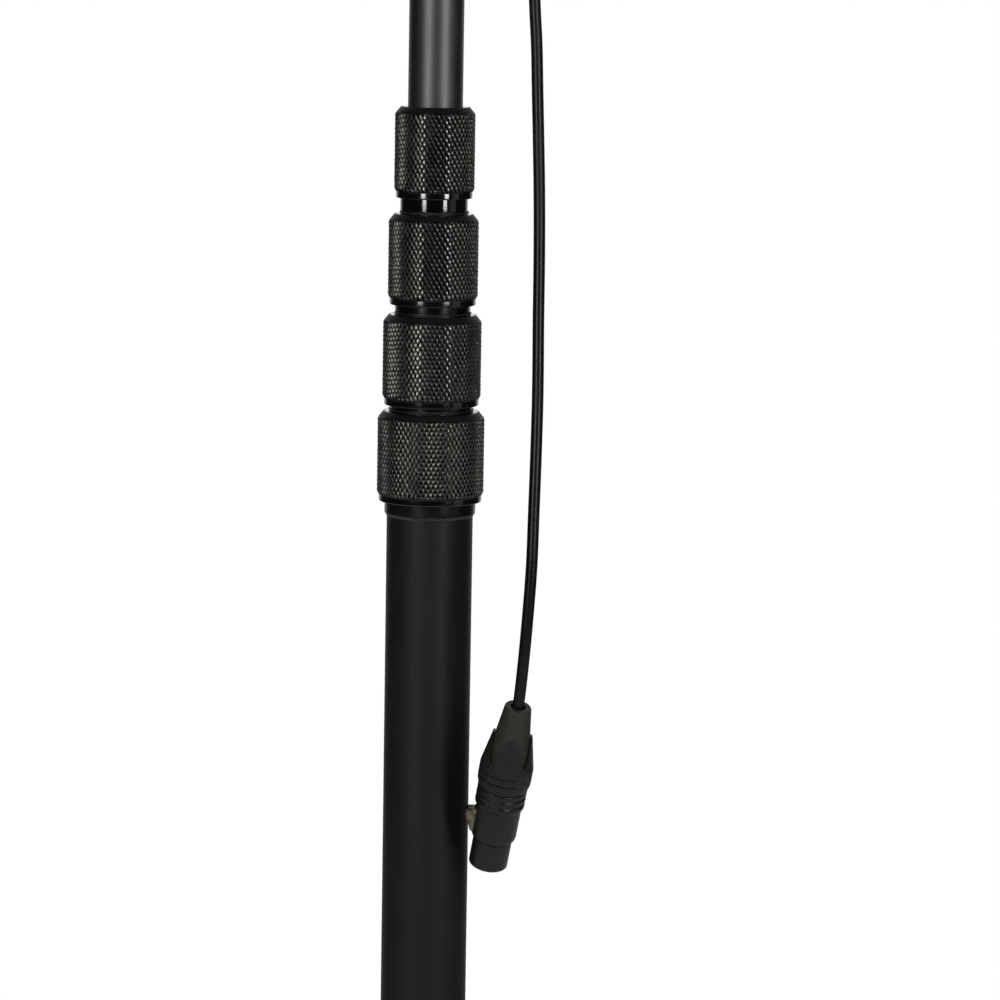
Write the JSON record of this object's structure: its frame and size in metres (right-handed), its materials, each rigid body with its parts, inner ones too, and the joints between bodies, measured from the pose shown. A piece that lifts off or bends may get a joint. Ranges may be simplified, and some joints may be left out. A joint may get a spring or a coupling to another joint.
{
  "type": "boom pole",
  "caption": "Telescopic aluminium boom pole with knurled twist collars, an internal coiled cable and a short lead with a female XLR plug at its tip.",
  "frame": {"origin": "centre of the foot ring's lower face, on the pole's axis", "axes": "+Z along the pole from its foot to its tip; +X to the side that the free lead hangs on; the lead and its plug hang towards +X and -Y"},
  "size_m": [0.067, 0.0738, 0.7895],
  "materials": {
    "base_tube_black": "matte black anodised aluminium, fine satin grain along the tube",
    "tube_grey": "dark grey anodised aluminium, satin",
    "neck_black": "gloss black anodised aluminium, turned",
    "collar_black": "black anodised aluminium, diamond knurl",
    "fitting_black": "satin black anodised aluminium, turned",
    "rubber": "matte black rubber",
    "black_plastic": "black moulded plastic",
    "gold_contacts": "gold plated",
    "steel": "bright steel",
    "latch_nickel": "nickel plated, slightly warm",
    "cable_jacket": "black flexible jacket, satin",
    "white_nylon": "natural nylon",
    "plug_shell_black": "black lacquered die cast zinc, satin",
    "plug_bushing_black": "black plastic with a soft bluish bloom",
    "boot_rubber": "matte black elastomer"
  },
  "bodies": {
    "base": {"base_tube": "base_tube_black", "base_ferrule": "neck_black", "base_end_cap": "fitting_black", "base_foot_ring": "rubber", "output_insert": "black_plastic", "output_pin_1": "gold_contacts", "output_pin_2": "gold_contacts", "output_pin_3": "gold_contacts", "end_cap_screw_1": "steel", "end_cap_screw_2": "steel", "cable_anchor": "black_plastic", "base_lead": "cable_jacket", "coil_1": "cable_jacket", "collet_1": "black_plastic"},
    "collar_1": {"collar_1": "collar_black"},
    "section_2": {"tube_2": "tube_grey", "ferrule_2": "neck_black", "guide_bushing_2": "white_nylon", "bumper_ring_2": "rubber", "collet_2": "black_plastic", "coil_2": "cable_jacket"},
    "collar_2": {"collar_2": "collar_black"},
    "section_3": {"tube_3": "tube_grey", "ferrule_3": "neck_black", "guide_bushing_3": "white_nylon", "bumper_ring_3": "rubber", "collet_3": "black_plastic", "coil_3": "cable_jacket"},
    "collar_3": {"collar_3": "collar_black"},
    "section_4": {"tube_4": "tube_grey", "ferrule_4": "neck_black", "guide_bushing_4": "white_nylon", "bumper_ring_4": "rubber", "collet_4": "black_plastic", "coil_4": "cable_jacket"},
    "collar_4": {"collar_4": "collar_black"},
    "section_5": {"tube_5": "tube_grey", "guide_bushing_5": "white_nylon", "tip_housing": "fitting_black", "mic_stud": "steel", "tip_set_screw_1": "steel", "tip_set_screw_2": "steel", "tip_lead": "cable_jacket", "cable_grommet": "rubber", "free_cable": "cable_jacket", "plug_shell": "plug_shell_black", "plug_insert": "black_plastic", "plug_contact_1": "gold_contacts", "plug_contact_2": "gold_contacts", "plug_contact_3": "gold_contacts", "plug_bushing": "plug_bushing_black", "plug_boot": "boot_rubber", "plug_chuck": "white_nylon", "plug_latch_spring": "steel"},
    "plug_latch": {"plug_latch": "latch_nickel"}
  },
  "joints": [
    {"name": "section_2_slide", "type": "slide", "parent": "base", "child": "section_2", "axis": [0, 0, 1], "range_m": [0, 0.4], "deforming": ["coil_1"]},
    {"name": "section_3_slide", "type": "slide", "parent": "section_2", "child": "section_3", "axis": [0, 0, 1], "range_m": [0, 0.4], "deforming": ["coil_2"]},
    {"name": "section_4_slide", "type": "slide", "parent": "section_3", "child": "section_4", "axis": [0, 0, 1], "range_m": [0, 0.4], "deforming": ["coil_3"]},
    {"name": "section_5_slide", "type": "slide", "parent": "section_4", "child": "section_5", "axis": [0, 0, 1], "range_m": [-0.0998, 0.3], "deforming": ["coil_4"]},
    {"name": "collar_1_turn", "type": "hinge", "parent": "base", "child": "collar_1", "pos_m": [0, 0, 0.5037], "axis": [0, 0, 1], "range_deg": [0, 90]},
    {"name": "collar_2_turn", "type": "hinge", "parent": "section_2", "child": "collar_2", "pos_m": [0, 0, 0.54315], "axis": [0, 0, 1], "range_deg": [0, 90]},
    {"name": "collar_3_turn", "type": "hinge", "parent": "section_3", "child": "collar_3", "pos_m": [0, 0, 0.584], "axis": [0, 0, 1], "range_deg": [0, 90]},
    {"name": "collar_4_turn", "type": "hinge", "parent": "section_4", "child": "collar_4", "pos_m": [0, 0, 0.62725], "axis": [0, 0, 1], "range_deg": [0, 90]},
    {"name": "plug_latch_press", "type": "slide", "parent": "section_5", "child": "plug_latch", "axis": [0.9888, 0.0506, -0.1407], "range_m": [0, 0.0016], "stiffness_N_per_m": 800, "springref_m": -0.001}
  ]
}
